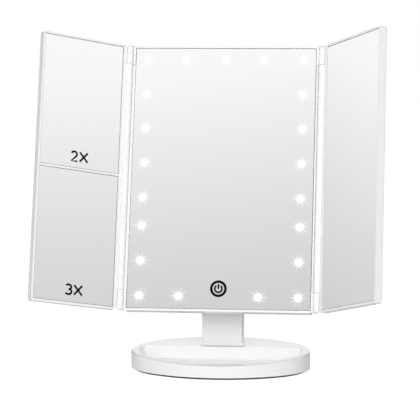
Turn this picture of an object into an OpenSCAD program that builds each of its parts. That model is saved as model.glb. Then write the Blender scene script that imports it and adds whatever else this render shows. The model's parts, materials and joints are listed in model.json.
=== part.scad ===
// Trifold vanity mirror: an oval tray base, a post with a friction tilt hinge, a lit centre mirror
// and two side mirrors on piano-style hinges.
// Millimetres, +Z up, the mirrors face -Y. The origin is the middle of the resting face.
// The head is drawn upright in its own frame, with the tilt axis as its X axis, then leaned back.

/* [Base] */
// Length of the base, side to side
base_length = 160; // [150:1:180]
// Depth of the base, front to back
base_depth = 120; // [110:1:130]
// Height of the base's rim at its front
base_front_height = 12.5; // [12:0.1:13.2]
// Height of the base's rim at its rear
base_rear_height = 19.2; // [18.6:0.1:20]
// Height of the base's top at its middle
base_mid_height = 17.2; // [17:0.1:18]
// Width of the rim around the tray
rim_width = 7; // [6:0.5:9]
// Height of the tray's floor above the table
tray_floor_height = 6.5; // [6:0.1:7.5]
// Distance of the tray's straight rear edge behind the middle
tray_rear_y = 12; // [8:0.5:12]
// Thickness of the anti-slip pad that the base stands on
pad_thickness = 2; // [1.5:0.1:2.5]

/* [Post] */
// Width of the post and of its hinge hub
post_width = 36.4; // [34:0.2:38]
// Depth of the post
post_depth = 14; // [13:0.5:15]
// Distance of the post's front face behind the middle of the base
post_front_y = 14; // [13:0.5:16]
// Radius of the hinge hub and of the ears beside it
hub_radius = 9.5; // [8.5:0.1:9.8]
// Height of the tilt axis above the table
axis_height = 57.5; // [55:0.5:62]

/* [Centre mirror] */
// Width of the centre mirror's glass
glass_width = 163; // [155:1:170]
// Height of the glass
glass_height = 237; // [230:1:245]
// Width of the frame beside the glass
side_bezel = 1.7; // [1.6:0.1:2]
// Width of the frame above and below the glass
end_bezel = 2.2; // [2:0.1:3]
// Depth of the centre panel, front of the frame to back of the cover
head_depth = 13.4; // [13:0.1:14]
// How far the head leans back, in degrees
rest_tilt = 16.8; // [0:0.1:20]

/* [Side mirrors] */
// Angle of the left mirror, forward from flat
left_open = 36.3; // [0:0.1:90]
// Angle of the right mirror, forward from flat
right_open = 51.9; // [0:0.1:90]
// Thickness of a side mirror
wing_thickness = 7.4; // [6.5:0.1:8]
// Radius of the hinge barrels
barrel_radius = 3.1; // [2.9:0.1:3.1]
// Length of each hinge knuckle on the centre frame
knuckle_length = 17.6; // [15:0.1:20]
// Radius of the hinge pins
pin_radius = 1; // [0.8:0.1:1.2]

/* [Lights] */
// Distance of the light windows' centres from the edges of the glass
led_inset = 11.2; // [10:0.1:12]
// Spacing of the lights down the sides
led_pitch = 31.5; // [30:0.1:32]
// Radius of one light window
window_radius = 3; // [2.5:0.1:3.2]

/* [Battery box] */
// Radius of one cell
cell_radius = 7.2; // [7:0.05:7.25]
// Length of one cell
cell_length = 50.2; // [49.5:0.1:50.5]
// Outer half-width of the box
box_half_width = 34; // [34:0.5:36]
// Height of the box's top edge above the tilt axis
box_top = 84; // [84:0.5:90]

/* [Hidden] */
$fn = 64;

white = "#f3f3f1";
silver_glass = "#c9ced2";
steel = "#b4b7ba";
far = 300;             // longer than anything that it cuts
slip = 0.05;           // radial clearance of a running fit
snug = 0.02;           // radial clearance of a fixed fit
play = 0.1;            // gap round a piece that drops into a seat
glass_gap = 0.18;      // gap between a mirror and its frame

// Base: an oval of four arcs, whose centres lie 30 mm and 40 mm from the middle at its usual size
oval_big_radius = 100 * base_length / 160;
oval_far = oval_big_radius - base_depth / 2;
oval_rise = oval_far + base_depth / 2 - base_length / 2;
oval_near = (oval_far * oval_far - oval_rise * oval_rise) / (2 * oval_rise);
oval_small_radius = base_length / 2 - oval_near;
// The top falls away toward the front in three planes, each given as
// [height at y = 0, slope, the y where it starts, the y where it ends]
bend_y = -16;
bend_half = 8;
base_slope = atan((base_rear_height - base_mid_height) / (base_depth / 2));
bend_height = base_mid_height + bend_y * tan(base_slope);
front_slope = atan((bend_height - base_front_height) / (bend_y + base_depth / 2));
front_top = bend_height - bend_y * tan(front_slope);
bend_slope = atan((tan(base_slope) + tan(front_slope)) / 2);
bend_top = (base_mid_height + front_top) / 2 + bend_half * (tan(base_slope) - tan(front_slope)) / 2;
top_planes = [
    [base_mid_height, base_slope, bend_y + bend_half, far],
    [bend_top, bend_slope, bend_y - bend_half, bend_y + bend_half],
    [front_top, front_slope, -far, bend_y - bend_half]
];
base_wall = 2.2;
rim_fillet = 1.5;
rim_steps = 3;
plate_thickness = 1.8;
plate_top = pad_thickness + plate_thickness;
tray_floor = 2;
tray_corner = 4;
base_boss_points = [[-55, 24], [55, 24], [-24, 47], [24, 47]];
boss_radius = 3.2;
screw_radius = 1.2;

// Post
post_rear_y = post_front_y + post_depth;
axis_y = post_rear_y - hub_radius;
post_middle_y = post_front_y + post_depth / 2;
post_corner = 1.8;
neck_height = axis_height - 12;
tongue_width = 28;
tongue_depth = 8;
tongue_bottom = 8.5;
socket_wall = 1.6;
post_screw_x = 8;

// Head, measured from the tilt axis: y runs back and z runs up
front_y = -40.8;
frame_low = -15;
glass_setback = 0.8;
glass_thickness = 3;
arris = 0.35;
glass_front = front_y + glass_setback;
glass_rear = glass_front + glass_thickness;
glass_low = frame_low + end_bezel;
glass_high = glass_low + glass_height;
frame_high = glass_high + end_bezel;
frame_half = glass_width / 2 + side_bezel;
cover_rear = front_y + head_depth;
seam_y = cover_rear - 3.6;
frame_wall = 1.6;
floor_thickness = 1.6;
floor_rear = glass_rear + floor_thickness;
cover_wall = 1.8;
cover_inner = cover_rear - cover_wall;
corner = 2.5;
board_thickness = 1.2;
board_half_width = 6.3;
led_x = glass_width / 2 - led_inset;
led_top = glass_high - led_inset;
led_bottom = glass_low + led_inset;
window_depth = 0.4;
touch_z = glass_low + 18.3;
cover_boss_x = 57.5;
cover_boss_z = [14, 72, 136, 198];

// Rows of lights: even steps from both ends leave the one short step where two strips meet
function led_row(k) = k < 5 ? led_top - k * led_pitch : led_bottom + (7 - k) * led_pitch;
led_points = concat(
    [for (k = [0:7], side = [-1, 1]) [side * led_x, led_row(k)]],
    [for (i = [-1:1]) [i * led_x / 2, led_top]],
    [for (side = [-1, 1]) [side * led_x / 2, led_bottom]]);

// Hinges: each axis stands just in front of the frame, so that a mirror folds flat onto the glass
hinge_gap = 0.4;
hinge_y = front_y - hinge_gap;
hinge_x = frame_half + barrel_radius + hinge_gap;
web_depth = barrel_radius - hinge_gap;
knuckle_gap = 0.3;
knuckle_round = 2.5;
channel_depth = 2;
pin_reach = 13;
pin_length = knuckle_length + pin_reach;

// Side mirrors, measured from their hinge axis: x runs outward and y runs back
wing_front = hinge_gap;
wing_rear = wing_front + wing_thickness;
wing_start = barrel_radius + 0.5;
wing_reach = hinge_x - 0.4;
wing_glass_start = 6.6;
wing_glass_end = wing_reach - 2;
wing_glass_front = wing_front + glass_setback;
wing_glass_rear = wing_glass_front + 2.2;
wing_floor_rear = wing_glass_rear + 1.2;
wing_cover_thickness = 1.6;
wing_round = 1;
divider_height = 1.8;
glass_middle = (glass_low + glass_high) / 2;
nail_slot_z = [frame_low + 7, frame_low + 11];
nail_slot_x = wing_reach - 0.6;
nail_slot_y = wing_front + 2.8;
nail_slot_half = 0.7;

// Battery box on the rear cover, and the compartment below it
box_low = -hub_radius;
box_rear = -hub_radius - 0.5;
bay_half = 30.3;
bay_low = 20;
bay_high = 79;
bay_floor = cover_rear;
cell_pitch = 2 * cell_radius + 0.4;
cell_y = bay_floor + cell_radius + 0.1;
cell_low = bay_low + (bay_high - bay_low - cell_length) / 2;
contact_size = 10;
strip_thickness = 0.4;
lower_half = box_half_width - cover_wall;
lower_low = box_low + cover_wall;
lower_high = bay_low - 4;
door_thickness = 2;
door_front = box_rear - door_thickness;
door_half = 31.4;
tongue_reach = 1.1;
tongue_thickness = 0.8;
door_low = bay_low - 2.4;
ear_inner = post_width / 2 + 0.4;
ear_outer = 28.2;
ear_web_top = 15;
shaft_radius = 2.5;
cap_radius = 5.6;
cap_thickness = 1.2;
bore_depth = 4.8;
switch_z = 6;
switch_travel = 3;
knob_height = 4;
slot_reach = (knob_height + switch_travel) / 2 + 0.2;
usb_z = 6;
control_y = -20;
control_rear = control_y + board_thickness;
board_posts = [[-24, -3], [24, -3], [-24, 11], [24, 11]];
small_screw_radius = 0.9;
wire_radius = 0.6;
wire_x = 1.5 * cell_pitch;

// ---- Shared shapes ----

module round_rect(w, h, r) {
    if (r > 0) {
        translate([r, 0]) square([w - 2 * r, h]);
        translate([0, r]) square([w, h - 2 * r]);
        for (x = [r, w - r], y = [r, h - r]) translate([x, y]) circle(r, $fn = 32);
    } else square([w, h]);
}

// An upright plate from x0 to x1 and z0 to z1, with its thickness from y0 to y1
module plate(x0, x1, z0, z1, y0, y1, r = 0) {
    translate([0, y1, 0]) rotate([90, 0, 0]) linear_extrude(y1 - y0)
        translate([x0, z0]) round_rect(x1 - x0, z1 - z0, r);
}

// A plate whose rear edges are rounded too: three extrusions in one another
module soft_plate(x0, x1, z0, z1, y0, y1, r, rear) {
    intersection() {
        plate(x0, x1, z0, z1, y0, y1, r);
        translate([0, 0, z0]) linear_extrude(z1 - z0) rear_round(x0, x1, y0, y1, rear);
        translate([x0, 0, 0]) rotate([90, 0, 90]) linear_extrude(x1 - x0)
            rotate(90) mirror([0, 1]) rear_round(z0, z1, y0, y1, rear);
    }
}

// Outline seen along an edge: square in front, round behind
module rear_round(a0, a1, y0, y1, r) {
    translate([a0, y0]) square([a1 - a0, y1 - y0 - r]);
    translate([a0 + r, y0]) square([a1 - a0 - 2 * r, y1 - y0]);
    for (a = [a0 + r, a1 - r]) translate([a, y1 - r]) circle(r, $fn = 32);
}

// A pane of glass whose front edges are ground off at 45 degrees
module pane(x0, x1, z0, z1, y0, y1) {
    intersection() {
        translate([0, 0, z0]) linear_extrude(z1 - z0) pane_outline(x0, x1, y0, y1);
        translate([x0, 0, 0]) rotate([90, 0, 90]) linear_extrude(x1 - x0)
            rotate(90) mirror([0, 1]) pane_outline(z0, z1, y0, y1);
    }
}

module pane_outline(a0, a1, y0, y1) {
    polygon([[a0 + arris, y0], [a1 - arris, y0], [a1, y0 + arris], [a1, y1], [a0, y1], [a0, y0 + arris]]);
}

// A pin, bore or boss that runs front to back
module rod_y(x, z, y0, y1, r) {
    translate([x, y1, z]) rotate([90, 0, 0]) cylinder(h = y1 - y0, r = r);
}

// A pin or bore that runs side to side
module rod_x(x0, x1, y, z, r) {
    translate([x0, y, z]) rotate([0, 90, 0]) cylinder(h = x1 - x0, r = r);
}

module mirrored() {
    children();
    mirror([1, 0, 0]) children();
}

module in_head() {
    translate([0, axis_y, axis_height]) rotate([-rest_tilt, 0, 0]) children();
}

module in_right_wing() {
    in_head() translate([hinge_x, hinge_y, 0]) rotate([0, 0, -right_open]) children();
}

module in_left_wing() {
    in_head() mirror([1, 0, 0]) translate([hinge_x, hinge_y, 0]) rotate([0, 0, -left_open]) children();
}

// ---- Base ----

// A disc whose upper edge is rounded off in short steps
module round_disc(r, h, f) {
    rotate_extrude($fn = 180) polygon(concat([[0, 0], [r, 0]], [for (k = [0:rim_steps])
        [r - f + f * cos(90 * k / rim_steps), h - f + f * sin(90 * k / rim_steps)]], [[0, h]]));
}

module plain_disc(r, h) {
    cylinder(h = h, r = r, $fn = 180);
}

// The base's oval, drawn in by inset: two wide arcs front and back, two tight arcs at the ends
module oval(inset, h, f = 0) {
    tangent_x = oval_near + (oval_small_radius - inset) * oval_near / norm([oval_near, oval_far]);
    intersection() {
        translate([0, -oval_far, 0]) oval_disc(oval_big_radius - inset, h, f);
        translate([0, oval_far, 0]) oval_disc(oval_big_radius - inset, h, f);
        translate([-tangent_x, -far, 0]) cube([2 * tangent_x, 2 * far, h]);
    }
    for (side = [-1, 1]) translate([side * oval_near, 0, 0]) oval_disc(oval_small_radius - inset, h, f);
}

module oval_disc(r, h, f) {
    if (f > 0) round_disc(r, h, f);
    else plain_disc(r, h);
}

// Everything that lies at least depth under the base's top
module under_top(depth) {
    intersection_for(p = top_planes) translate([0, 0, p[0] - depth]) rotate([p[1], 0, 0])
        translate([-far, -far, -far]) cube([2 * far, 2 * far, far]);
}

// The tray's outline: the oval cut off straight at the rear, where an arc touches both at each corner
module tray_shape(inset, rear_y, z, h, corner_radius) {
    arc_radius = oval_small_radius - inset;
    corner_y = rear_y - corner_radius;
    corner_out = sqrt(pow(arc_radius - corner_radius, 2) - corner_y * corner_y);
    difference() {
        intersection() {
            translate([0, 0, z]) oval(inset, h);
            translate([-far, rear_y - far, z]) cube([2 * far, far, h]);
        }
        mirrored() translate([oval_near + corner_out, corner_y, z - 1]) difference() {
            linear_extrude(h + 2) polygon([[0, 0], [0, 2 * corner_radius],
                [4 * corner_radius, 2 * corner_radius],
                4 * corner_radius * [corner_out, corner_y] / (arc_radius - corner_radius)]);
            cylinder(h = h + 2, r = corner_radius);
        }
    }
}

module base_shell() {
    body_height = base_rear_height + 4;
    socket_length = tongue_width + 2 * play;
    socket_depth = tongue_depth + 2 * play;
    color(white) difference() {
        intersection() {
            for (p = top_planes) intersection() {
                translate([0, -p[0] * (tan(p[1]) - tan(base_slope)) / 2, p[0]]) rotate([p[1], 0, 0])
                    translate([0, 0, -body_height]) oval(0, body_height, rim_fillet);
                translate([-far, p[2], -far]) cube([2 * far, p[3] - p[2], 2 * far]);
            }
            translate([-far, -far, pad_thickness]) cube(2 * far);
        }
        difference() {
            intersection() {
                translate([0, 0, pad_thickness - 1]) oval(base_wall, base_rear_height);
                under_top(base_wall);
            }
            tray_shape(rim_width - base_wall, tray_rear_y + base_wall, tray_floor_height - tray_floor, far,
                tray_corner + base_wall);
            for (p = base_boss_points) translate([p[0], p[1], plate_top]) cylinder(h = far, r = boss_radius);
            translate([-socket_length / 2 - socket_wall, post_middle_y - socket_depth / 2 - socket_wall,
                tongue_bottom - base_wall])
                cube([socket_length + 2 * socket_wall, socket_depth + 2 * socket_wall, far]);
        }
        tray_shape(rim_width, tray_rear_y, tray_floor_height, far, tray_corner);
        translate([-socket_length / 2, post_middle_y - socket_depth / 2, tongue_bottom])
            cube([socket_length, socket_depth, far]);
        for (p = base_boss_points) translate([p[0], p[1], 0])
            cylinder(h = plate_top + 7, r = screw_radius + snug);
        for (side = [-1, 1]) translate([side * post_screw_x, post_middle_y, 0])
            cylinder(h = tongue_bottom + 1, r = 1.5 + slip);
    }
}

module base_bottom_plate() {
    color("#e6e6e4") difference() {
        translate([0, 0, pad_thickness]) oval(base_wall + play, plate_thickness);
        for (p = base_boss_points) translate([p[0], p[1], pad_thickness]) {
            translate([0, 0, -1]) cylinder(h = far, r = screw_radius + 0.2);
            translate([0, 0, -0.01]) cylinder(h = 1.4, r1 = 2.6, r2 = 1.3);
        }
    }
}

module base_pad() {
    color("#4a4a4c") oval(4, pad_thickness);
}

module base_screws() {
    color(steel) for (p = base_boss_points) translate([p[0], p[1], pad_thickness]) {
        cylinder(h = 1.3, r1 = 2.5, r2 = screw_radius);
        cylinder(h = plate_thickness + 6, r = screw_radius);
    }
}

// ---- Post ----

// Side outline of the hub and the neck that leads to it, as [y, z]
module neck_outline() {
    translate([axis_y, axis_height]) circle(hub_radius);
    polygon([[post_front_y, neck_height - 6], [post_rear_y, neck_height - 6], [post_rear_y, axis_height],
        [axis_y, axis_height], neck_tangent]);
}
neck_start = [post_front_y - axis_y, neck_height - 6 - axis_height];
neck_angle = atan2(neck_start[1], neck_start[0]) - acos(hub_radius / norm(neck_start));
neck_tangent = [axis_y + hub_radius * cos(neck_angle), axis_height + hub_radius * sin(neck_angle)];

module stand_post() {
    color(white) difference() {
        union() {
            difference() {
                translate([-post_width / 2, post_front_y, base_front_height])
                    linear_extrude(neck_height - base_front_height)
                        round_rect(post_width, post_depth, post_corner);
                under_top(0);
            }
            translate([-post_width / 2, 0, 0]) rotate([90, 0, 90]) linear_extrude(post_width) neck_outline();
            translate([-tongue_width / 2, post_middle_y - tongue_depth / 2, tongue_bottom])
                cube([tongue_width, tongue_depth, base_rear_height]);
        }
        rod_x(-far, far, axis_y, axis_height, shaft_radius + slip);
        for (side = [-1, 1]) translate([side * post_screw_x, post_middle_y, 0])
            cylinder(h = tongue_bottom + 9, r = screw_radius + snug);
    }
}

// A slim ring with a ridge, round the post's foot
module post_collar() {
    reach = 1;
    height = 3.2;
    color(white) difference() {
        translate([0, post_middle_y, base_mid_height + post_middle_y * tan(base_slope)])
        rotate([base_slope, 0, 0]) intersection() {
            translate([0, far / 2, 0]) rotate([90, 0, 0]) linear_extrude(far)
                ridge_outline(post_width / 2, reach, height);
            translate([-far / 2, 0, 0]) rotate([90, 0, 90]) linear_extrude(far)
                ridge_outline(post_depth / 2, reach, height);
        }
        translate([-post_width / 2 - snug, post_front_y - snug, 0]) linear_extrude(far)
            round_rect(post_width + 2 * snug, post_depth + 2 * snug, post_corner);
    }
}

module ridge_outline(half, reach, height) {
    ridge_z = 0.6 * height;
    polygon([[-half - 0.6, 0], [half + 0.6, 0], [half + reach, ridge_z], [half + 0.3, height],
        [-half - 0.3, height], [-half - reach, ridge_z]]);
}

module post_screws() {
    color(steel) for (side = [-1, 1])
    translate([side * post_screw_x, post_middle_y, tongue_bottom - base_wall]) {
        translate([0, 0, -1.8]) cylinder(h = 1.8, r = 2.6);
        cylinder(h = 9, r = screw_radius);
    }
}

// ---- Centre panel ----

// One knuckle with its outer end rounded, standing up from z = 0
module knuckle(length) {
    rotate_extrude() {
        translate([0, knuckle_round]) square([barrel_radius, length - knuckle_round]);
        square([barrel_radius - knuckle_round, length]);
        intersection() {
            translate([barrel_radius - knuckle_round, knuckle_round]) circle(knuckle_round, $fn = 32);
            square([barrel_radius, length]);
        }
    }
    translate([-barrel_radius - hinge_gap, hinge_gap, 0])
        cube([barrel_radius + hinge_gap, web_depth, length]);
}

module front_frame() {
    color(white) in_head() difference() {
        union() {
            difference() {
                plate(-frame_half, frame_half, frame_low, frame_high, front_y, seam_y, corner);
                plate(-glass_width / 2 - glass_gap, glass_width / 2 + glass_gap, glass_low - glass_gap,
                    glass_high + glass_gap, front_y - 1, glass_rear);
                plate(-frame_half + frame_wall, frame_half - frame_wall, frame_low + frame_wall,
                    frame_high - frame_wall, floor_rear, seam_y + 1);
                plate(-52, 52, 34, 196, glass_rear - 1, floor_rear + 1, 6);
            }
            for (x = [-cover_boss_x, cover_boss_x], z = cover_boss_z)
                rod_y(x, z, floor_rear - 0.5, cover_inner, boss_radius);
            mirrored() {
                translate([hinge_x, hinge_y, frame_low]) knuckle(knuckle_length);
                translate([hinge_x, hinge_y, frame_high]) mirror([0, 0, 1]) knuckle(knuckle_length);
            }
        }
        for (p = led_points) rod_y(p[0], p[1], glass_rear - 1, floor_rear + 1, window_radius + 0.6);
        rod_y(0, touch_z, glass_rear - 1, floor_rear + 1, 7.5);
        // the frame's edge is cut back beside each barrel
        mirrored() plate(glass_width / 2, frame_half + 1, frame_low + knuckle_length + knuckle_gap,
            frame_high - knuckle_length - knuckle_gap, front_y - 1, front_y + channel_depth);
        for (x = [-cover_boss_x, cover_boss_x], z = cover_boss_z)
            rod_y(x, z, floor_rear, cover_inner + 1, screw_radius + snug);
        mirrored() for (z = [frame_low + 1.5, frame_high - 1.5 - knuckle_length])
            translate([hinge_x, hinge_y, z]) cylinder(h = knuckle_length, r = pin_radius + snug);
    }
}

module hinge_pins() {
    color(steel) in_head() mirrored() translate([hinge_x, hinge_y, 0]) {
        translate([0, 0, frame_low + 1.5]) cylinder(h = pin_length - 1.5, r = pin_radius);
        translate([0, 0, frame_high - pin_length]) cylinder(h = pin_length - 1.5, r = pin_radius);
    }
}

module main_mirror() {
    color(silver_glass) in_head() difference() {
        pane(-glass_width / 2, glass_width / 2, glass_low, glass_high, glass_front, glass_rear);
        for (p = led_points)
            rod_y(p[0], p[1], glass_front - 1, glass_front + window_depth, window_radius + snug);
    }
}

module led_windows() {
    color("#fffaf0") in_head() for (p = led_points)
        rod_y(p[0], p[1], glass_front, glass_front + window_depth, window_radius);
}

// A frame-shaped board, left open below where the touch key sits
module led_board() {
    inner = board_half_width;
    color("#f0f0ea") in_head() difference() {
        plate(-led_x - inner, led_x + inner, led_bottom - inner, led_top + inner,
            floor_rear, floor_rear + board_thickness, 2);
        plate(-led_x + inner, led_x - inner, led_bottom + inner, led_top - inner,
            floor_rear - 1, floor_rear + board_thickness + 1, 2);
        plate(-20, 20, led_bottom - far, led_bottom + far / 4,
            floor_rear - 1, floor_rear + board_thickness + 1);
    }
}

module leds() {
    color("#fff3c8") in_head() for (p = led_points)
        plate(p[0] - 1.75, p[0] + 1.75, p[1] - 1.4, p[1] + 1.4, floor_rear - 0.7, floor_rear);
}

module touch_electrode() {
    color("#c58b4a") in_head() {
        rod_y(0, touch_z, glass_rear, glass_rear + 0.4, 7);
        rod_y(0, touch_z, glass_rear + 0.4, floor_rear, 2.5);
    }
}

module touch_board() {
    color("#2f6b46") in_head() {
        plate(-13, 13, touch_z - 10, touch_z + 10, floor_rear, floor_rear + board_thickness, 1);
        plate(-4, 4, touch_z - 7, touch_z - 1,
            floor_rear + board_thickness, floor_rear + board_thickness + 1.2);
    }
}

// ---- Rear cover ----

// Side outline of one ear, as [y, z]: a disc on the axis, webbed forward to the box
ear_point = [box_rear, ear_web_top];
ear_angle = atan2(ear_point[1], ear_point[0]) - acos(hub_radius / norm(ear_point));
module ear_outline() {
    circle(hub_radius);
    polygon([[box_rear - 1, -hub_radius], [0, -hub_radius], [0, 0],
        [hub_radius * cos(ear_angle), hub_radius * sin(ear_angle)], ear_point, [box_rear - 1, ear_web_top]]);
}

module ear() {
    translate([ear_inner, 0, 0]) rotate([90, 0, 90]) linear_extrude(ear_outer - ear_inner) ear_outline();
}

module rear_cover() {
    lip = frame_half - frame_wall - play;
    color(white) in_head() {
        difference() {
            union() {
                cover_shell(lip);
                soft_plate(-box_half_width, box_half_width, box_low, box_top, cover_inner, box_rear, 3, 1.5);
                for (x = [-led_x, led_x], z = [30, 90, 150])
                    rod_y(x, z, floor_rear + board_thickness, cover_rear, 2.5);
                mirrored() ear();
            }
            // battery bay, and the compartment for the electronics below it
            plate(-bay_half, bay_half, bay_low, bay_high, bay_floor, box_rear + 1);
            plate(-lower_half, lower_half, lower_low, lower_high, seam_y - 3, box_rear - cover_wall);
            // seat and side grooves of the sliding door
            plate(-door_half - play, door_half + play, door_low - play, box_top + 1,
                door_front, box_rear + 1);
            plate(-door_half - tongue_reach - play, door_half + tongue_reach + play,
                door_low - play, box_top + 1, door_front, door_front + tongue_thickness + play);
            // charging port and switch slot in the box's sides
            plate(-far, -box_half_width + 4, usb_z - 4.1, usb_z + 4.1, control_y - 3.4, control_y + play);
            plate(box_half_width - 4, far, switch_z - slot_reach, switch_z + slot_reach,
                control_y - 3.1, control_y - 0.5);
            for (x = [-cover_boss_x, cover_boss_x], z = cover_boss_z) {
                rod_y(x, z, seam_y, cover_rear + 1, screw_radius + 0.2);
                rod_y(x, z, cover_rear - 1, cover_rear + 1, 2.8);
            }
            // wires from the cells
            for (x = [-wire_x, wire_x]) translate([x, cell_y - 2, lower_high - 1])
                cylinder(h = bay_low - lower_high + 2, r = wire_radius + play);
            rod_x(-far, far, 0, 0, shaft_radius + snug);
            mirrored() rod_x(ear_outer - bore_depth, far, 0, 0, cap_radius + snug);
        }
        for (p = board_posts) difference() {
            rod_y(p[0], p[1], control_rear, box_rear - cover_wall + 0.5, 2.2);
            rod_y(p[0], p[1], control_y, control_rear + 4.5, small_screw_radius + snug);
        }
    }
}

// The cover itself, hollow from the front, with the lip that drops into the frame
module cover_shell(lip) {
    difference() {
        union() {
            soft_plate(-frame_half, frame_half, frame_low, frame_high, seam_y, cover_rear, corner, 2.4);
            plate(-lip, lip, frame_low + frame_wall + play, frame_high - frame_wall - play,
                seam_y - 2, seam_y + 1);
        }
        plate(-lip + 1.3, lip - 1.3, frame_low + frame_wall + 1.4, frame_high - frame_wall - 1.4,
            seam_y - 3, cover_inner);
    }
}

module cover_screws() {
    color(steel) in_head() for (x = [-cover_boss_x, cover_boss_x], z = cover_boss_z) {
        rod_y(x, z, cover_rear - 1, cover_rear - 0.1, 2.6);
        rod_y(x, z, floor_rear + 1, cover_rear - 1, screw_radius);
    }
}

// ---- Electronics and power ----

module control_board() {
    color("#2f6b46") in_head() {
        difference() {
            plate(-lower_half + 1, lower_half - 1, lower_low + 1, lower_high - 1,
                control_y, control_rear, 1);
            for (p = board_posts)
                rod_y(p[0], p[1], control_y - 1, control_rear + 1, small_screw_radius + play);
        }
        plate(-6, 4, 2, 9, control_rear, control_rear + 1.6);
        for (x = [-16, 12, 18]) rod_y(x, 4, control_rear, control_rear + 5, 2.4);
    }
}

// One wire along points, with round bends
module wire(points) {
    for (i = [0:len(points) - 2]) {
        run = points[i + 1] - points[i];
        translate(points[i]) rotate([0, acos(run[2] / norm(run)), atan2(run[1], run[0])])
            cylinder(h = norm(run), r = wire_radius, $fn = 24);
        if (i > 0) translate(points[i]) sphere(wire_radius, $fn = 24);
    }
}

// Short runs from the lights, the touch key and the cells to the control board
module wiring() {
    board_front = floor_rear + board_thickness;
    color("#b03028") in_head() {
        for (z = [0, 3]) wire([[-21.5, board_front, z], [-21.5, control_y, z]]);
        for (x = [5, 8, 11]) wire([[x, board_front, 12], [x, control_y, 12]]);
        for (x = [-wire_x, wire_x]) wire([[x, cell_y - 2, bay_low], [x, cell_y - 2, 7], [x, control_y, 7]]);
    }
}

module board_screws() {
    color(steel) in_head() for (p = board_posts) {
        rod_y(p[0], p[1], control_y - 1, control_y, 1.8);
        rod_y(p[0], p[1], control_y, control_rear + 4, small_screw_radius);
    }
}

module usb_socket() {
    low = usb_z - 3.9;
    color(steel) in_head() difference() {
        plate(-box_half_width + 0.6, -box_half_width + 6.2, low, low + 7.8, control_y - 3.1, control_y);
        plate(-far, -box_half_width + 5.6, low + 0.5, low + 7.3, control_y - 2.6, control_y - 0.5);
    }
}

module switch_body() {
    color("#3c3c3e") in_head() difference() {
        plate(lower_half - 5.4, lower_half - 0.4, switch_z - 5.5, switch_z + 5.5, control_y - 3.8, control_y);
        plate(lower_half - 2.4, far, switch_z - slot_reach, switch_z + slot_reach,
            control_y - 3, control_y - 0.6);
    }
}

module switch_knob() {
    low = switch_z - (knob_height + switch_travel) / 2;
    color("#3c3c3e") in_head() {
        plate(lower_half - 2.1, box_half_width + 1.2, low, low + knob_height,
            control_y - 2.8, control_y - 0.8);
    }
}

module batteries() {
    color("#5d6a78") in_head() for (i = [0:3]) {
        x = (i - 1.5) * cell_pitch;
        translate([x, cell_y, cell_low]) cell(i % 2 == 0);
    }
}

// One cell, with its button end up or down
module cell(up) {
    nub = 1;
    translate([0, 0, up ? 0 : nub]) cylinder(h = cell_length - nub, r = cell_radius);
    translate([0, 0, up ? cell_length - nub : 0]) cylinder(h = nub, r = 2.75);
}

// Contacts at both ends of the bay, bridged so that the four cells work in series
module battery_contacts() {
    half = contact_size / 2;
    color("#c9c2a0") in_head() {
        for (i = [0:3]) {
            contact((i - 1.5) * cell_pitch, bay_low, 0);
            contact((i - 1.5) * cell_pitch, bay_high, 1);
        }
        plate(half - cell_pitch / 2 - 0.5, cell_pitch / 2 - half + 0.5, bay_low, bay_low + strip_thickness,
            cell_y - 3, cell_y + 3);
        mirrored() plate(cell_pitch / 2 + half - 0.5, 1.5 * cell_pitch - half + 0.5,
            bay_high - strip_thickness, bay_high, cell_y - 3, cell_y + 3);
    }
}

// One contact: a plate on the wall and a sprung strip bowed toward the cell, the other way up if turned is 1
module contact(x, z, turned) {
    reach = cell_low - bay_low;
    t = strip_thickness;
    translate([x, cell_y, z]) mirror([0, 0, turned]) {
        translate([-contact_size / 2, -contact_size / 2, 0]) cube([contact_size, contact_size, t]);
        translate([-2.5, 0, 0]) rotate([90, 0, 90]) linear_extrude(5)
            polygon([[-4.5, t], [-1.5, reach - t], [-1.5, reach], [1.5, reach], [1.5, reach - t], [4.5, t],
                [3.9, t], [1.2, reach - t - 0.1], [-1.2, reach - t - 0.1], [-3.9, t]]);
    }
}

module battery_door() {
    grip_low = box_top - 14;
    color(white) in_head() {
        difference() {
            plate(-door_half, door_half, door_low, box_top, door_front + 0.05, box_rear);
            for (k = [0:3]) plate(-9 + k, 9 - k, grip_low + k * 2.4, grip_low + k * 2.4 + 1.2, box_rear - 0.6,
                box_rear + 1);
        }
        mirrored() plate(door_half - 0.5, door_half + tongue_reach - play, door_low, box_top - 1.5,
            door_front + 0.05, door_front + tongue_thickness);
    }
}

// ---- Tilt hinge ----

module tilt_shaft() {
    color(steel) in_head() {
        rod_x(-ear_outer + 2, ear_outer - 1.6, 0, 0, shaft_radius);
        rod_x(-ear_outer + cap_thickness + 0.6, -ear_outer + bore_depth, 0, 0, 4.4);
    }
}

module tilt_nut() {
    color(steel) in_head() difference() {
        translate([ear_outer - bore_depth, 0, 0]) rotate([0, 90, 0]) cylinder(h = 3, r = 4.6, $fn = 6);
        rod_x(0, far, 0, 0, shaft_radius + snug);
    }
}

module friction_washers() {
    color("#5a5a5c") in_head() mirrored() difference() {
        rod_x(post_width / 2 + slip, ear_inner, 0, 0, 7);
        rod_x(0, far, 0, 0, shaft_radius + snug);
    }
}

module ear_caps() {
    color(white) in_head() mirrored() rod_x(ear_outer - cap_thickness, ear_outer, 0, 0, cap_radius);
}

// ---- Side mirrors ----

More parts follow.
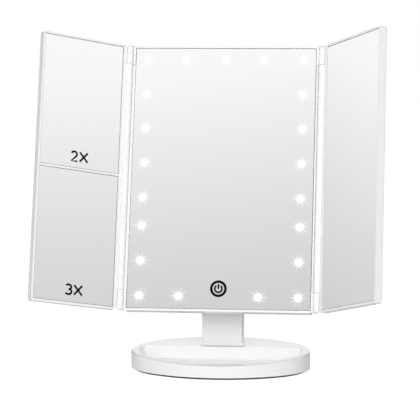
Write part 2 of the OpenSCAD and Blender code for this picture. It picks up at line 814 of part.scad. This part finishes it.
module wing_frame(divided) {
    barrel_low = frame_low + knuckle_length + knuckle_gap;
    barrel_high = frame_high - knuckle_length - knuckle_gap;
    difference() {
        union() {
            difference() {
                soft_plate(wing_start, wing_reach, frame_low, frame_high, wing_front, wing_rear,
                    corner, wing_round);
                plate(wing_glass_start - glass_gap, wing_glass_end + glass_gap, glass_low - glass_gap,
                    glass_high + glass_gap, 0, wing_glass_rear);
                plate(wing_start + frame_wall, wing_reach - frame_wall, frame_low + frame_wall,
                    frame_high - frame_wall, wing_floor_rear, wing_rear + 1);
            }
            if (divided) plate(wing_glass_start - 1, wing_glass_end + 1, glass_middle - divider_height / 2,
                glass_middle + divider_height / 2, wing_front, wing_floor_rear);
            translate([0, 0, barrel_low]) cylinder(h = barrel_high - barrel_low, r = barrel_radius);
            translate([0, hinge_gap, barrel_low])
                cube([wing_start + 0.5, web_depth, barrel_high - barrel_low]);
            for (z = wing_rib_z) plate(wing_start + 1, wing_reach - 1, z - 0.6, z + 0.6,
                wing_floor_rear - 0.5, wing_rear - wing_cover_thickness);
        }
        for (z = tape_rows) plate(tape_start, tape_end, z[0], z[1], wing_glass_rear - 1, wing_floor_rear + 1);
        for (z = [barrel_low - 1, barrel_high - pin_reach]) translate([0, 0, z])
            cylinder(h = pin_reach + 1, r = pin_radius + slip);
        // shallow slot for a fingernail, low on the outer edge
        for (z = nail_slot_z) rod_x(nail_slot_x, far, nail_slot_y, z, nail_slot_half);
        plate(nail_slot_x, far, nail_slot_z[0], nail_slot_z[1], nail_slot_y - nail_slot_half,
            nail_slot_y + nail_slot_half);
    }
}
// windows in a side mirror's floor, which the tape pads fill, and the ribs between them
tape_start = 16;
tape_end = 75;
tape_height = 40;
tape_low = [glass_low + 12, glass_middle - 50, glass_middle + 10, glass_high - 52];
tape_rows = [for (z = tape_low) [z, z + tape_height]];
wing_rib_z = [glass_low + 6, glass_middle - 4, glass_middle + 4, glass_high - 6];

module wing_back_cover() {
    plate(wing_start + frame_wall + play, wing_reach - frame_wall - play, frame_low + frame_wall + play,
        frame_high - frame_wall - play, wing_rear - wing_cover_thickness, wing_rear);
}

module wing_glass(low, high) {
    pane(wing_glass_start, wing_glass_end, low, high, wing_glass_front, wing_glass_rear);
}

module wing_tape() {
    for (z = tape_rows) plate(tape_start + 0.5, tape_end - 0.5, z[0] + 0.5, z[1] - 0.5, wing_glass_rear,
        wing_rear - wing_cover_thickness);
}

module left_frame() { color(white) in_left_wing() wing_frame(true); }
module left_back_cover() { color(white) in_left_wing() wing_back_cover(); }
module left_tape() { color("#6a6a6c") in_left_wing() wing_tape(); }
module mirror_2x() {
    color(silver_glass) in_left_wing() wing_glass(glass_middle + divider_height / 2 + glass_gap, glass_high);
}
module mirror_3x() {
    color(silver_glass) in_left_wing() wing_glass(glass_low, glass_middle - divider_height / 2 - glass_gap);
}
module right_frame() { color(white) in_right_wing() wing_frame(false); }
module right_back_cover() { color(white) in_right_wing() wing_back_cover(); }
module right_tape() { color("#6a6a6c") in_right_wing() wing_tape(); }
module right_mirror() { color(silver_glass) in_right_wing() wing_glass(glass_low, glass_high); }

base_shell();
base_bottom_plate();
base_pad();
base_screws();
stand_post();
post_collar();
post_screws();
front_frame();
rear_cover();
cover_screws();
main_mirror();
led_windows();
led_board();
leds();
touch_electrode();
touch_board();
control_board();
board_screws();
usb_socket();
switch_body();
switch_knob();
wiring();
batteries();
battery_contacts();
battery_door();
hinge_pins();
tilt_shaft();
tilt_nut();
friction_washers();
ear_caps();
left_frame();
left_back_cover();
mirror_2x();
mirror_3x();
left_tape();
right_frame();
right_back_cover();
right_mirror();
right_tape();
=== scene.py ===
"""Trifold vanity mirror: materials, printed marks, light glow, camera and studio round the CAD frame."""
import json
import math

import bmesh
import bpy
from mathutils import Matrix, Vector

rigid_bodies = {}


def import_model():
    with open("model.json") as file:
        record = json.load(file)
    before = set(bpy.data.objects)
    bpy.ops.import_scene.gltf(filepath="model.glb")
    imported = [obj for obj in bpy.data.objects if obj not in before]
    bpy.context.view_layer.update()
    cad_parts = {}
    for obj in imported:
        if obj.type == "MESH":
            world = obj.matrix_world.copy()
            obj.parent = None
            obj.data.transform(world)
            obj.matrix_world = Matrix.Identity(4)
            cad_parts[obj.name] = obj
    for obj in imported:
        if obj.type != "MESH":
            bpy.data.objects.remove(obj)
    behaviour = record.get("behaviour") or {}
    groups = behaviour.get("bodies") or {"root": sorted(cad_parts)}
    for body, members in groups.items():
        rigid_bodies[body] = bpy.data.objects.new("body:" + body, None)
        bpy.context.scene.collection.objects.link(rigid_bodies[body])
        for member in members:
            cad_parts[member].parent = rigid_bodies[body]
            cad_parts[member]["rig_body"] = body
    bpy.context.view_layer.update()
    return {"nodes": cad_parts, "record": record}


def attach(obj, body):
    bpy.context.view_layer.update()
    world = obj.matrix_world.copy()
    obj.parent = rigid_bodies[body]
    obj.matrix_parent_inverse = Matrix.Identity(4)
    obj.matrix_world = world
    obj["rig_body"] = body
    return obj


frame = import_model()
nodes = frame["nodes"]
scene = bpy.context.scene

MM = 0.001

# Millimetres and degrees, as in part.scad. The head's own frame has the tilt axis as its X axis, and a side
# mirror's own frame has its hinge as its Z axis
AXIS_Y, AXIS_Z, REST_TILT = 18.5, 57.5, 16.8
HINGE_X, HINGE_Y, LEFT_OPEN, RIGHT_OPEN = 86.7, -41.2, 36.3, 51.9
GLASS_FRONT, GLASS_LOW, GLASS_HIGH = -40.0, -12.8, 224.2
WING_GLASS_FRONT = 1.2
LED_X, LED_INSET, LED_PITCH = 70.3, 11.2, 31.5
TOUCH_Z = 5.5

in_head = (Matrix.Translation((0, AXIS_Y * MM, AXIS_Z * MM))
           @ Matrix.Rotation(math.radians(-REST_TILT), 4, "X"))
in_hinge = Matrix.Translation((HINGE_X * MM, HINGE_Y * MM, 0))
in_left_wing = (in_head @ Matrix.Scale(-1, 4, (1, 0, 0)) @ in_hinge
                @ Matrix.Rotation(math.radians(-LEFT_OPEN), 4, "Z"))
in_right_wing = in_head @ in_hinge @ Matrix.Rotation(math.radians(-RIGHT_OPEN), 4, "Z")


# ---------------------------------------------------------------- materials

# A noise node's values mostly lie between these two
NOISE_LOW, NOISE_HIGH = 0.3, 0.7


def grey(level):
    return (level, level, level, 1)


class Graph:
    """A short way to build a node tree: every call adds one node and links what it is given."""

    def __init__(self, tree):
        self.tree = tree
        tree.nodes.clear()

    def node(self, kind, inputs=None, **settings):
        n = self.tree.nodes.new(kind)
        for k, v in settings.items():
            setattr(n, k, v)
        for k, v in (inputs or {}).items():
            socket = n.inputs[k]
            if isinstance(v, bpy.types.NodeSocket):
                self.tree.links.new(v, socket)
            else:
                socket.default_value = v
        return n

    def math(self, op, a, b=0.0, c=0.0, clamp=False):
        return self.node("ShaderNodeMath", {0: a, 1: b, 2: c}, operation=op, use_clamp=clamp).outputs[0]

    def vector(self, op, *inputs):
        n = self.node("ShaderNodeVectorMath", dict(enumerate(inputs)), operation=op)
        return n.outputs["Value" if op in ("DOT_PRODUCT", "LENGTH") else "Vector"]

    def noise(self, where, scale, detail=2.0, **more):
        inputs = {"Vector": where, "Scale": scale, "Detail": detail, **more}
        return self.node("ShaderNodeTexNoise", inputs).outputs[0]

    def mix(self, fac, a, b, blend="MIX"):
        return self.node("ShaderNodeMix", {0: fac, 6: a, 7: b}, data_type="RGBA", blend_type=blend).outputs[2]

    def ramp(self, fac, stops):
        n = self.node("ShaderNodeValToRGB", {0: fac})
        while len(n.color_ramp.elements) < len(stops):
            n.color_ramp.elements.new(0.5)
        for e, (at, colour) in zip(n.color_ramp.elements, stops):
            e.position = at
            e.color = (*colour, 1) if isinstance(colour, tuple) else grey(colour)
        return n.outputs[0]

    def between(self, noise, low, high):
        """A colour that goes from low to high with a noise."""
        return self.ramp(noise, [(NOISE_LOW, low), (NOISE_HIGH, high)])

    def span(self, value, lo, hi, to_lo, to_hi, kind="LINEAR"):
        return self.node("ShaderNodeMapRange", {0: value, 1: lo, 2: hi, 3: to_lo, 4: to_hi},
                         interpolation_type=kind).outputs[0]

    def around(self, noise, middle, by):
        """A number that goes up to by below and above middle with a noise."""
        return self.span(noise, NOISE_LOW, NOISE_HIGH, middle - by, middle + by)

    def bump(self, height, distance, strength):
        inputs = {"Height": height, "Strength": strength, "Distance": distance}
        return self.node("ShaderNodeBump", inputs).outputs[0]

    def surface(self, **inputs):
        """The finished surface. An input's name has an underscore for each space."""
        named = {k.replace("_", " "): v for k, v in inputs.items()}
        shader = self.node("ShaderNodeBsdfPrincipled", named).outputs[0]
        self.node("ShaderNodeOutputMaterial", {0: shader})


def material(name):
    m = bpy.data.materials.new(name)
    m.use_nodes = True
    return m, Graph(m.node_tree)


DRIFT_SCALE, PATCH_SCALE = 9.0, 60.0
POLISH_SPREAD = 0.02
# Painted gap shade: how far the occlusion reaches, and the occlusion values where the shade is full and where
# it is gone
GAP_SHADE_REACH, GAP_SHADE_CLOSED, GAP_SHADE_OPEN = 0.0016, 0.1, 0.45


def moulded(name, low, high, roughness, peel=0.00001, scale=420.0, painted_gap_shade=None, painted_foot_shade=None, **extra):
    """Moulded plastic: faint colour drift from flow, uneven polish and a fine skin of orange peel.
    With seam, narrow gaps get painted shade: the colour darkens by ambient occlusion, down to that tone where
    a gap closes.
    With foot, a painted shade line runs round the foot: the height where it starts, the height where it ends
    and its tone."""
    m, g = material(name)
    where = g.node("ShaderNodeTexCoord").outputs["Object"]
    drift = g.noise(where, DRIFT_SCALE)
    skin = g.noise(where, scale, 3.0, Roughness=0.6)
    patch = g.noise(where, PATCH_SCALE, 4.0)
    colour = g.between(drift, low, high)
    # Painted shade: narrow gaps darkened by ambient occlusion
    if painted_gap_shade:
        gap = g.node("ShaderNodeAmbientOcclusion", {"Distance": GAP_SHADE_REACH}, samples=16).outputs["AO"]
        colour = g.mix(1.0, colour, g.ramp(gap, [(GAP_SHADE_CLOSED, painted_gap_shade), (GAP_SHADE_OPEN, 1.0)]), "MULTIPLY")
    # Painted shade: a dark line round the foot, fading out with height
    if painted_foot_shade:
        start, end, tone = painted_foot_shade
        height = g.node("ShaderNodeSeparateXYZ", {0: where}).outputs[2]
        colour = g.mix(1.0, colour, g.span(height, start, end, tone, 1.0), "MULTIPLY")
    g.surface(Base_Color=colour, Roughness=g.around(patch, roughness, POLISH_SPREAD),
              Normal=g.bump(skin, peel, 1.0), **extra)
    return m


METAL_SCALE = 600.0
METAL_SPREAD = 0.06
METAL_GRAIN = 0.00002


def metal(name, low, high, roughness, grain=(1, 1, 1)):
    """Plated metal, with drawn grain along the axis where grain is less than 1."""
    m, g = material(name)
    where = g.node("ShaderNodeTexCoord").outputs["Object"]
    stretched = g.node("ShaderNodeMapping", {0: where, 3: grain}).outputs[0]
    lines = g.noise(stretched, METAL_SCALE, 4.0)
    g.surface(Base_Color=g.between(lines, low, high), Metallic=1.0,
              Roughness=g.around(lines, roughness, METAL_SPREAD), Normal=g.bump(lines, METAL_GRAIN, 0.6))
    return m


PANE_FACING = 0.9
GROUND_ROUGHNESS = 0.5


def mirror_glass(name, place):
    """Silvered glass: all reflection, with the faintest haze where a cloth has passed. What doesn't face
    the pane's own front, its ground edges and its painted back, is dull grey."""
    m, g = material(name)
    coords = g.node("ShaderNodeTexCoord").outputs
    facing = g.vector("DOT_PRODUCT", coords["Normal"], place.to_3x3() @ Vector((0, -1, 0)))
    front = g.math("GREATER_THAN", facing, PANE_FACING)
    wiped = g.node("ShaderNodeMapping", {0: coords["Object"], 2: (0, 0.6, 0), 3: (1, 1, 0.25)}).outputs[0]
    haze = g.noise(wiped, 14.0, 6.0, Roughness=0.55)
    grit = g.noise(coords["Object"], 1500.0)
    silver = g.ramp(haze, [(0.3, 0.945), (0.75, 0.94)])
    ground = g.between(grit, (0.17, 0.18, 0.18), (0.24, 0.25, 0.25))
    polish = g.span(haze, 0.35, 0.75, 0.004, 0.02)
    g.surface(Base_Color=g.mix(front, ground, silver), Metallic=front,
              Roughness=g.span(front, 0.0, 1.0, GROUND_ROUGHNESS, polish))
    return m


def lit_window(name):
    """Etched window lit from behind, with the grain of the etching."""
    m, g = material(name)
    where = g.node("ShaderNodeTexCoord").outputs["Object"]
    colour = g.between(g.noise(where, 2500.0), (0.97, 0.97, 0.96), (1, 1, 1))
    g.surface(Base_Color=colour, Roughness=0.5, Emission_Color=colour, Emission_Strength=1.0)
    return m


# Radii here are parts of the disc's radius
STAR_RAYS = 10
STAR_LEAN = 0.16
STAR_VARIETY = 37.0
CORE_FULL, CORE_END = 0.31, 0.44
RAY_SHORT, RAY_LONG = 0.62, 0.98
RAY_WIDE, RAY_FINE = 4.0, 30.0
HALO_LEVEL = 0.4


def star_glow(name):
    """The glow round a lit window: a soft halo and uneven fine rays, drawn on each disc's own UV square."""
    m, g = material(name)
    uv = g.node("ShaderNodeUVMap", uv_map="disc").outputs[0]
    at = g.vector("MULTIPLY_ADD", uv, (2, 2, 0), (-1, -1, 0))
    r = g.vector("LENGTH", at)
    way = g.vector("NORMALIZE", at)
    island = g.node("ShaderNodeNewGeometry").outputs["Random Per Island"]
    xy = g.node("ShaderNodeSeparateXYZ", {0: way}).outputs
    turn = g.math("ARCTAN2", xy[1], xy[0])
    lean = g.math("MULTIPLY", g.math("SUBTRACT", island, 0.5), STAR_LEAN)
    wave = g.math("COSINE", g.math("MULTIPLY", g.math("ADD", turn, lean), STAR_RAYS / 2))
    spike = g.math("POWER", g.math("ABSOLUTE", wave), g.span(r, 0.3, 1.0, RAY_WIDE, RAY_FINE))
    own = g.math("MULTIPLY", island, STAR_VARIETY)
    uneven = g.node("ShaderNodeTexNoise", {"Vector": way, "W": own, "Scale": 1.9, "Detail": 1.0},
                    noise_dimensions="4D").outputs[0]
    reach = g.span(uneven, 0.38, 0.6, RAY_SHORT, RAY_LONG)
    fade = g.span(g.math("DIVIDE", r, reach), 0.4, 1.0, 1.0, 0.0)
    core = g.span(r, CORE_FULL, CORE_END, 1.0, 0.0, "SMOOTHSTEP")
    falling = g.math("POWER", g.math("SUBTRACT", 1.0, r, clamp=True), 3.0)
    halo = g.math("MULTIPLY", falling, HALO_LEVEL)
    beams = g.math("MULTIPLY", spike, fade)
    alpha = g.math("MAXIMUM", core, g.math("ADD", halo, beams, clamp=True))
    g.surface(Base_Color=grey(0), Roughness=1.0, Specular_IOR_Level=0.0, Emission_Color=grey(1),
              Emission_Strength=1.0, Alpha=alpha)
    return m


def printed(name, tone):
    """Ink screened on glass: nearly black, a little uneven."""
    m, g = material(name)
    where = g.node("ShaderNodeTexCoord").outputs["Object"]
    colour = g.between(g.noise(where, 1800.0), tone * 0.8, tone * 1.25)
    g.surface(Base_Color=colour, Roughness=0.7, Specular_IOR_Level=0.03)
    return m


GLOSS = {"peel": 0.000003, "Coat_Weight": 0.7, "Coat_Roughness": 0.05}
# White plastic, with painted shade in its narrow gaps
WHITE = moulded("white_gloss", (0.905, 0.905, 0.903), (0.915, 0.915, 0.913), 0.09, painted_gap_shade=0.4, **GLOSS)
# The post and its collar: the same white plastic made darker, as painted shade for the head's shadow over
# them, with a painted shade line round the post's foot
SHADED_POST_WHITE = moulded("post_white_shaded", (0.785, 0.785, 0.784), (0.8, 0.8, 0.799), 0.12,
                     painted_foot_shade=(0.0178, 0.0190, 0.5), **GLOSS)
LEFT_GLASS = mirror_glass("left_glass", in_left_wing)
RIGHT_GLASS = mirror_glass("right_glass", in_right_wing)
INK = printed("ink", 0.004)

# What each material slot of the record looks like
LOOKS = {
    "white_gloss": WHITE,
    "light_plastic": moulded("light_plastic", (0.8, 0.8, 0.79), (0.84, 0.84, 0.83), 0.45, peel=0.00006),
    "rubber_grey": moulded("rubber_grey", (0.05, 0.05, 0.052), (0.075, 0.075, 0.078), 0.8, peel=0.0001,
                           scale=900),
    "foam_grey": moulded("foam_grey", (0.12, 0.12, 0.122), (0.16, 0.16, 0.162), 0.9, peel=0.0001, scale=700),
    "steel": metal("steel", (0.5, 0.51, 0.53), (0.68, 0.69, 0.7), 0.3, (1, 1, 0.1)),
    "mirror_glass": mirror_glass("mirror_glass", in_head),
    "frosted_window": lit_window("frosted_window"),
    "led_package": moulded("led_package", (0.9, 0.8, 0.4), (0.98, 0.88, 0.5), 0.4),
    "white_board": moulded("white_board", (0.85, 0.85, 0.8), (0.9, 0.9, 0.86), 0.4),
    "green_board": moulded("green_board", (0.01, 0.09, 0.03), (0.02, 0.13, 0.045), 0.35),
    "copper": metal("copper", (0.6, 0.42, 0.18), (0.75, 0.56, 0.28), 0.3),
    "dark_plastic": moulded("dark_plastic", (0.012, 0.012, 0.013), (0.02, 0.02, 0.021), 0.45),
    "wire_red": moulded("wire_red", (0.4, 0.03, 0.02), (0.5, 0.05, 0.03), 0.4),
    "cell_case": metal("cell_case", (0.12, 0.15, 0.2), (0.16, 0.2, 0.26), 0.35),
}
# The nodes that look different from their slot
OWN_LOOKS = {
    "mirror_2x": LEFT_GLASS,
    "mirror_3x": LEFT_GLASS,
    "right_mirror": RIGHT_GLASS,
    "stand_post": SHADED_POST_WHITE,
    "post_collar": SHADED_POST_WHITE,
}
slots = {p["node"]: p["material_slot"] for p in frame["record"]["subparts"]}
for name, obj in nodes.items():
    obj.data.materials.clear()
    obj.data.materials.append(OWN_LOOKS.get(name) or LOOKS[slots[name]])


# ---------------------------------------------------------------- printed marks and glow

def mesh_piece(name, verts, faces, look, body, matrix, slot):
    """A piece from vertices in millimetres in the frame that matrix gives, riding on a body."""
    mesh = bpy.data.meshes.new(name)
    mesh.from_pydata([matrix @ Vector((x * MM, y * MM, z * MM)) for x, y, z in verts], [], faces)
    mesh.materials.append(look)
    obj = bpy.data.objects.new(name, mesh)
    scene.collection.objects.link(obj)
    bm = bmesh.new()
    bm.from_mesh(mesh)
    bmesh.ops.recalc_face_normals(bm, faces=bm.faces)
    bm.to_mesh(mesh)
    bm.free()
    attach(obj, body)
    return obj


INK_DEPTH = 0.05


def stroke(points, width, glass, closed=False):
    """A stroke of ink of constant width along points (x, z), as a closed solid whose back is on the glass."""
    n = len(points)
    verts, faces = [], []
    for i, (x, z) in enumerate(points):
        before = points[i - 1] if i > 0 or closed else points[i]
        after = points[(i + 1) % n] if i < n - 1 or closed else points[i]
        dx, dz = after[0] - before[0], after[1] - before[1]
        size = math.hypot(dx, dz)
        nx, nz = -dz / size * width / 2, dx / size * width / 2
        for side in (1, -1):
            for y in (glass - INK_DEPTH, glass):
                verts.append((x + side * nx, y, z + side * nz))
    for i in range(n if closed else n - 1):
        a, b = 4 * i, 4 * ((i + 1) % n)
        faces += [(a, b, b + 2, a + 2), (a + 1, a + 3, b + 3, b + 1), (a, a + 1, b + 1, b),
                  (a + 2, b + 2, b + 3, a + 3)]
    if not closed:
        last = 4 * (n - 1)
        faces += [(0, 2, 3, 1), (last, last + 1, last + 3, last + 2)]
    return verts, faces


def joined(parts):
    verts, faces = [], []
    for v, f in parts:
        start = len(verts)
        verts += v
        faces += [tuple(i + start for i in face) for face in f]
    return verts, faces


def arc(cx, cz, rx, rz, a0, a1, steps):
    """Points on an ellipse from angle a0 to angle a1, in degrees."""
    angles = [math.radians(a0 + (a1 - a0) * k / steps) for k in range(steps + 1)]
    return [(cx + rx * math.cos(a), cz + rz * math.sin(a)) for a in angles]


RING_RADIUS, RING_STROKE = 6.3, 2.3
SIGN_RADIUS, SIGN_STROKE = 3.2, 1.6
BAR_LOW, BAR_HIGH = -0.2, 4.2


def power_symbol():
    def circle(radius, a0, a1, steps):
        return arc(0, TOUCH_Z, radius, radius, a0, a1, steps)

    ring = stroke(circle(RING_RADIUS, 0, 354, 59), RING_STROKE, GLASS_FRONT, closed=True)
    sign = stroke(circle(SIGN_RADIUS, 125, 415, 36), SIGN_STROKE, GLASS_FRONT)
    bar = stroke([(0, TOUCH_Z + BAR_LOW), (0, TOUCH_Z + BAR_HIGH)], SIGN_STROKE, GLASS_FRONT)
    mesh_piece("power_symbol", *joined([ring, sign, bar]), INK, "head", in_head, "dark_plastic")


# The middle lines of each character's strokes, in a box 0..1 wide and 0..1 high
GLYPHS = {
    "2": [[(0.02, 0.8)] + arc(0.46, 0.71, 0.44, 0.29, 150, -32, 14)[1:] + [(0.0, 0.0), (0.98, 0.0)]],
    "3": [arc(0.45, 0.76, 0.45, 0.24, 150, -90, 14) + arc(0.45, 0.27, 0.52, 0.27, 90, -150, 14)[1:]],
    "X": [[(0.0, 0.0), (1.0, 1.0)], [(1.0, 0.0), (0.0, 1.0)]],
}
MARK_HEIGHT, MARK_GAP, MARK_STROKE = 8.6, 2.2, 1.8
DIGIT_WIDTH, X_WIDTH = 6.0, 7.8


def mark(name, digit, s_left, v_low):
    """A digit and an X on the left mirror: s_left is the distance from the hinge where the mark starts, and
    v_low its height over the pane's lower edge."""
    parts = []
    for char, width in ((digit, DIGIT_WIDTH), ("X", X_WIDTH)):
        for line in GLYPHS[char]:
            points = [(s_left - x * width, GLASS_LOW + v_low + z * MARK_HEIGHT) for x, z in line]
            parts.append(stroke(points, MARK_STROKE, WING_GLASS_FRONT))
        s_left -= width + MARK_GAP
    mesh_piece(name, *joined(parts), INK, "left_wing", in_left_wing, "dark_plastic")


def led_places():
    """The middles of the 21 windows: two columns, with one shorter step, and the rows between them."""
    top, low = GLASS_HIGH - LED_INSET, GLASS_LOW + LED_INSET
    heights = [top - k * LED_PITCH for k in range(5)] + [low + k * LED_PITCH for k in (2, 1, 0)]
    columns = [(side * LED_X, z) for z in heights for side in (-1, 1)]
    upper = [(i * LED_X / 2, top) for i in (-1, 0, 1)]
    lower = [(side * LED_X / 2, low) for side in (-1, 1)]
    return columns + upper + lower


def on_circle(radius, angle):
    return radius * math.cos(angle), radius * math.sin(angle)


GLOW_RADIUS, GLOW_SIDES, GLOW_GAP = 10.5, 32, 0.04


def light_glow():
    """A disc just in front of the glass round each window, for the glow to be drawn on."""
    y = GLASS_FRONT - GLOW_GAP
    turns = [2 * math.pi * k / GLOW_SIDES for k in range(GLOW_SIDES)]
    verts, faces = [], []
    for x, z in led_places():
        start = len(verts)
        verts.append((x, y, z))
        for turn in turns:
            dx, dz = on_circle(GLOW_RADIUS, turn)
            verts.append((x + dx, y, z + dz))
        faces += [(start, start + 1 + k, start + 1 + (k + 1) % GLOW_SIDES) for k in range(GLOW_SIDES)]
    obj = mesh_piece("light_glow", verts, faces, star_glow("star_glow"), "head", in_head, "frosted_window")
    corners = [(0.5, 0.5)]
    for turn in turns:
        du, dv = on_circle(0.5, turn)
        corners.append((0.5 + du, 0.5 + dv))
    layer = obj.data.uv_layers.new(name="disc")
    for loop in obj.data.loops:
        layer.data[loop.index].uv = corners[loop.vertex_index % len(corners)]
    obj.visible_shadow = False


power_symbol()
mark("mark_2x", "2", 53.6, 125.6)
mark("mark_3x", "3", 53.2, 6.8)
light_glow()

# The mirrors show the studio and the base, but not the head or each other
for obj in scene.objects:
    if obj.type == "MESH" and obj.get("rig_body") != "base":
        obj.visible_glossy = False


# ---------------------------------------------------------------- floor

# The floor gives FLOOR_BOUNCE back to the part. The camera sees the floor's own shade, and over it a level
# that brings the lit floor to white
FLOOR_REACH = 30
FLOOR_BOUNCE, FLOOR_SHADE, FLOOR_WHITE = 0.9, 0.85, 0.66

floor_mesh = bpy.data.meshes.new("floor")
corners = [(x * FLOOR_REACH, y * FLOOR_REACH, 0) for x, y in ((-1, -1), (1, -1), (1, 1), (-1, 1))]
floor_mesh.from_pydata(corners, [], [(0, 1, 2, 3)])
floor = bpy.data.objects.new("floor", floor_mesh)
scene.collection.objects.link(floor)
look, g = material("floor")
ray = g.node("ShaderNodeLightPath").outputs
bounce = g.node("ShaderNodeBsdfDiffuse", {0: grey(FLOOR_BOUNCE)}).outputs[0]
shade = g.node("ShaderNodeBsdfDiffuse", {0: grey(FLOOR_SHADE)}).outputs[0]
white = g.node("ShaderNodeEmission", {0: grey(1), 1: FLOOR_WHITE}).outputs[0]
seen = g.node("ShaderNodeAddShader", {0: shade, 1: white}).outputs[0]
shader = g.node("ShaderNodeMixShader", {0: ray["Is Camera Ray"], 1: bounce, 2: seen}).outputs[0]
g.node("ShaderNodeOutputMaterial", {0: shader})
floor_mesh.materials.append(look)


# ---------------------------------------------------------------- world and lamp

# The soft light: the way that it comes from, its sharpness and its level
FRONT_LIGHT = ((-0.05, -0.965, 0.26), 4.0, 0.8)
REAR_LIGHT = ((0, 0.9, 0.44), 3.0, 1.65)

# What mirrors and gloss show: a level that rises with height, to the sides and to the back, and its tones
SIDE_SLOPE, SIDE_CURVE = -0.0874, 0.3267
BACK_FROM, BACK_SLOPE = 0.6, 2.0
LEVEL_LOW, LEVEL_HIGH = 0.3, 0.7
TONES = [(0.0, 0.5), (0.3, 0.645), (0.372, 0.713), (0.427, 0.768), (0.516, 0.882), (0.59, 0.987), (0.62, 1.0)]

# A dark band to the back, which draws the outline of rounded edges
BAND_IN, BAND_OUT, BAND_DARK = (0.5, 0.6), (0.88, 0.93), 0.85

KEY_PLACE, KEY_TARGET = (0.05, -1.75, 0.72), (0, 0, 0.1)
KEY_WIDTH, KEY_HEIGHT, KEY_POWER = 1.3, 1.0, 24.0


def lobe(g, way, toward, sharpness, level):
    """A soft patch of light in one direction of the world."""
    near = g.math("MAXIMUM", g.vector("DOT_PRODUCT", way, toward), 0.0)
    return g.math("MULTIPLY", g.math("POWER", near, sharpness), level)


def background(g, colour, strength):
    return g.node("ShaderNodeBackground", {0: colour, 1: strength}).outputs[0]


world = bpy.data.worlds.new("studio")
scene.world = world
world.use_nodes = True
g = Graph(world.node_tree)
ray = g.node("ShaderNodeLightPath").outputs
way = g.node("ShaderNodeTexCoord").outputs["Generated"]
x, y, z = g.node("ShaderNodeSeparateXYZ", {0: way}).outputs
squared = g.math("MULTIPLY", x, x)
across = g.math("ADD", g.math("MULTIPLY", x, SIDE_SLOPE), g.math("MULTIPLY", squared, SIDE_CURVE))
behind = g.math("MULTIPLY", g.math("SUBTRACT", y, BACK_FROM, clamp=True), BACK_SLOPE)
level = g.math("ADD", g.math("ADD", z, across), behind)
shown = g.ramp(g.span(level, LEVEL_LOW, LEVEL_HIGH, 0.0, 1.0), TONES)
band = g.math("MULTIPLY", g.span(y, *BAND_IN, 0.0, BAND_DARK), g.span(y, *BAND_OUT, 1.0, 0.0))
soft = g.math("ADD", lobe(g, way, *FRONT_LIGHT), lobe(g, way, *REAR_LIGHT))
light = background(g, grey(1), soft)
mirrored = background(g, g.mix(band, shown, grey(0)), 1.0)
seen = background(g, grey(1), 1.0)
mix = g.node("ShaderNodeMixShader", {0: ray["Is Glossy Ray"], 1: light, 2: mirrored}).outputs[0]
mix = g.node("ShaderNodeMixShader", {0: ray["Is Camera Ray"], 1: mix, 2: seen}).outputs[0]
g.node("ShaderNodeOutputWorld", {0: mix})

key = bpy.data.lights.new("key", "AREA")
key.shape = "RECTANGLE"
key.size, key.size_y, key.energy = KEY_WIDTH, KEY_HEIGHT, KEY_POWER
lamp = bpy.data.objects.new("key", key)
scene.collection.objects.link(lamp)
lamp.location = KEY_PLACE
lamp.rotation_euler = (Vector(KEY_TARGET) - Vector(KEY_PLACE)).to_track_quat("-Z", "Y").to_euler()
lamp.visible_glossy = False


# ---------------------------------------------------------------- camera

# Solved from the photograph: place in metres, and the angles down and to the left in degrees
EYE = (0.1974, -1.8020, 0.3237)
EYE_DOWN, EYE_LEFT = 5.72, 6.55

camera = bpy.data.cameras.new("camera")
camera.lens, camera.sensor_width = 176.43, 36.0
camera.clip_start, camera.clip_end = 0.05, 100.0
eye = bpy.data.objects.new("camera", camera)
scene.collection.objects.link(eye)
eye.location = EYE
eye.rotation_euler = (math.radians(90 - EYE_DOWN), 0, math.radians(EYE_LEFT))
scene.camera = eye
scene.view_settings.view_transform = "Standard"
